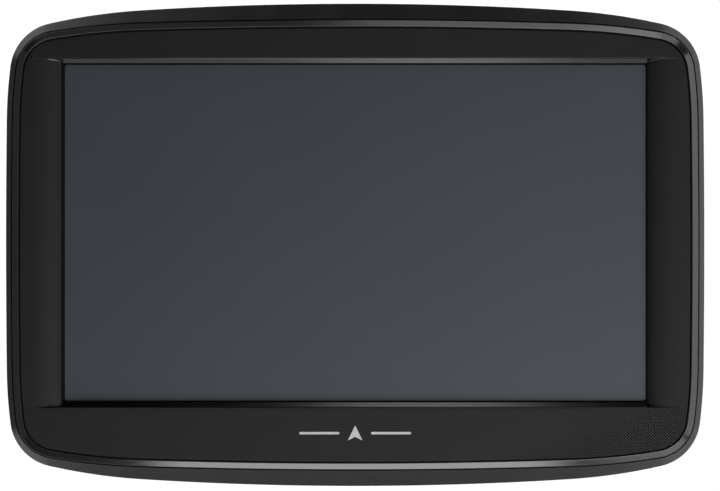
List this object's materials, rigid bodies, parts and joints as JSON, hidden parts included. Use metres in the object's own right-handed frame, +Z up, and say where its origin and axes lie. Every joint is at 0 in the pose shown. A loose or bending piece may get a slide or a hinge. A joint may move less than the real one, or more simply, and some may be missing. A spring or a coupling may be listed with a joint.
{
  "type": "portable gps navigator",
  "caption": "Portable satellite navigator: wide crowned body, recessed screen, trim ring, and a fold-flat swivelling suction mount with a twist lock in its back.",
  "frame": {"origin": "centre of the suction cup's rim face, which seats on the glass", "axes": "+Y from the screen through the body to the glass; +X to the right of a person facing the screen; +Z up"},
  "size_m": [0.1392, 0.0254, 0.0962],
  "materials": {
    "fascia_plastic": "fine spark-eroded matt black",
    "trim_plastic": "satin dark grey, smooth",
    "housing_plastic": "matt black, fine grain",
    "key_plastic": "matt black",
    "panel_glass": "anti-glare, screen off",
    "gasket_foam": "closed-cell foam",
    "cell_glass": "polarised, smooth",
    "light_guide": "white film stack",
    "frame_steel": "pressed, zinc plated",
    "flex_film": "amber polyimide",
    "chassis_plastic": "glass-filled, matt",
    "board_laminate": "green solder mask",
    "shield_metal": "tin plated",
    "antenna_ceramic": "unglazed, silvered top",
    "connector_plastic": "natural nylon",
    "chip_epoxy": "moulded epoxy",
    "socket_metal": "nickel plated",
    "switch_body": "moulded nylon",
    "battery_foil": "laminated foil",
    "pad_foam": "pale foam tape",
    "wire_cover": "PVC, red and black",
    "speaker_steel": "black plated",
    "cone_paper": "coated pulp",
    "mesh_cloth": "acoustic mesh",
    "pipe_clear": "clear, polished",
    "screw_steel": "black zinc",
    "small_screw_steel": "bright zinc",
    "plunger_plastic": "natural acetal",
    "mount_plastic": "matt black, glass-filled",
    "washer_steel": "spring steel",
    "pin_steel": "ground",
    "bush_brass": "turned",
    "cup_rubber": "smooth PVC, soft",
    "band_rubber": "matt, ribbed",
    "puller_plastic": "natural acetal",
    "core_plastic": "moulded-in stiffener"
  },
  "bodies": {
    "mount_base": {"cup_housing": "mount_plastic", "hinge_bushes": "bush_brass", "suction_cup": "cup_rubber"},
    "twist_lock": {"lock_ring": "mount_plastic", "grip_band": "band_rubber"},
    "puller": {"cup_puller": "puller_plastic", "cup_core": "core_plastic"},
    "swivel_carrier": {"swivel_plate": "mount_plastic", "swivel_retainer": "washer_steel", "retainer_screws": "small_screw_steel", "wave_washer": "washer_steel", "hinge_pin": "pin_steel"},
    "key": {"power_key": "key_plastic", "switch_plunger": "plunger_plastic"},
    "navigator": {"front_fascia": "fascia_plastic", "trim_ring": "trim_plastic", "window_gasket": "gasket_foam", "touch_panel": "panel_glass", "touch_flex": "flex_film", "lcd_cell": "cell_glass", "lcd_backlight": "light_guide", "lcd_frame": "frame_steel", "lcd_flex": "flex_film", "mid_frame": "chassis_plastic", "main_board": "board_laminate", "processor_shield": "shield_metal", "radio_shield": "shield_metal", "gps_antenna": "antenna_ceramic", "board_connectors": "connector_plastic", "board_components": "chip_epoxy", "usb_socket": "socket_metal", "card_socket": "socket_metal", "battery": "battery_foil", "battery_pad": "pad_foam", "battery_lead": "wire_cover", "battery_plug": "connector_plastic", "speaker_frame": "speaker_steel", "speaker_cone": "cone_paper", "speaker_gasket": "gasket_foam", "speaker_mesh": "mesh_cloth", "speaker_lead": "wire_cover", "tact_switch": "switch_body", "light_pipe": "pipe_clear", "rear_housing": "housing_plastic", "case_screws": "screw_steel", "board_screws": "small_screw_steel"}
  },
  "joints": [
    {"name": "lock_twist", "type": "hinge", "parent": "mount_base", "child": "twist_lock", "pos_m": [0, 0, 0], "axis": [0, -1, 0], "range_deg": [0, 75]},
    {"name": "cup_pull", "type": "slide", "parent": "mount_base", "child": "puller", "axis": [0, -1, 0], "range_m": [0, 0.0015], "deforming": ["suction_cup"]},
    {"name": "tilt", "type": "hinge", "parent": "mount_base", "child": "swivel_carrier", "pos_m": [0, -0.0031, 0.0323], "axis": [-1, 0, 0], "range_deg": [0, 100]},
    {"name": "swivel", "type": "hinge", "parent": "swivel_carrier", "child": "navigator", "pos_m": [0, 0, 0], "axis": [0, 1, 0], "range_deg": [0, 180]},
    {"name": "power_press", "type": "slide", "parent": "navigator", "child": "key", "axis": [0, -1, 0], "range_m": [0, 0.0004], "stiffness_N_per_m": 2000, "springref_m": -0.0004}
  ],
  "couplings": [
    {"joint": "cup_pull", "follows": "lock_twist", "m_per_rad": 0.0011459}
  ]
}
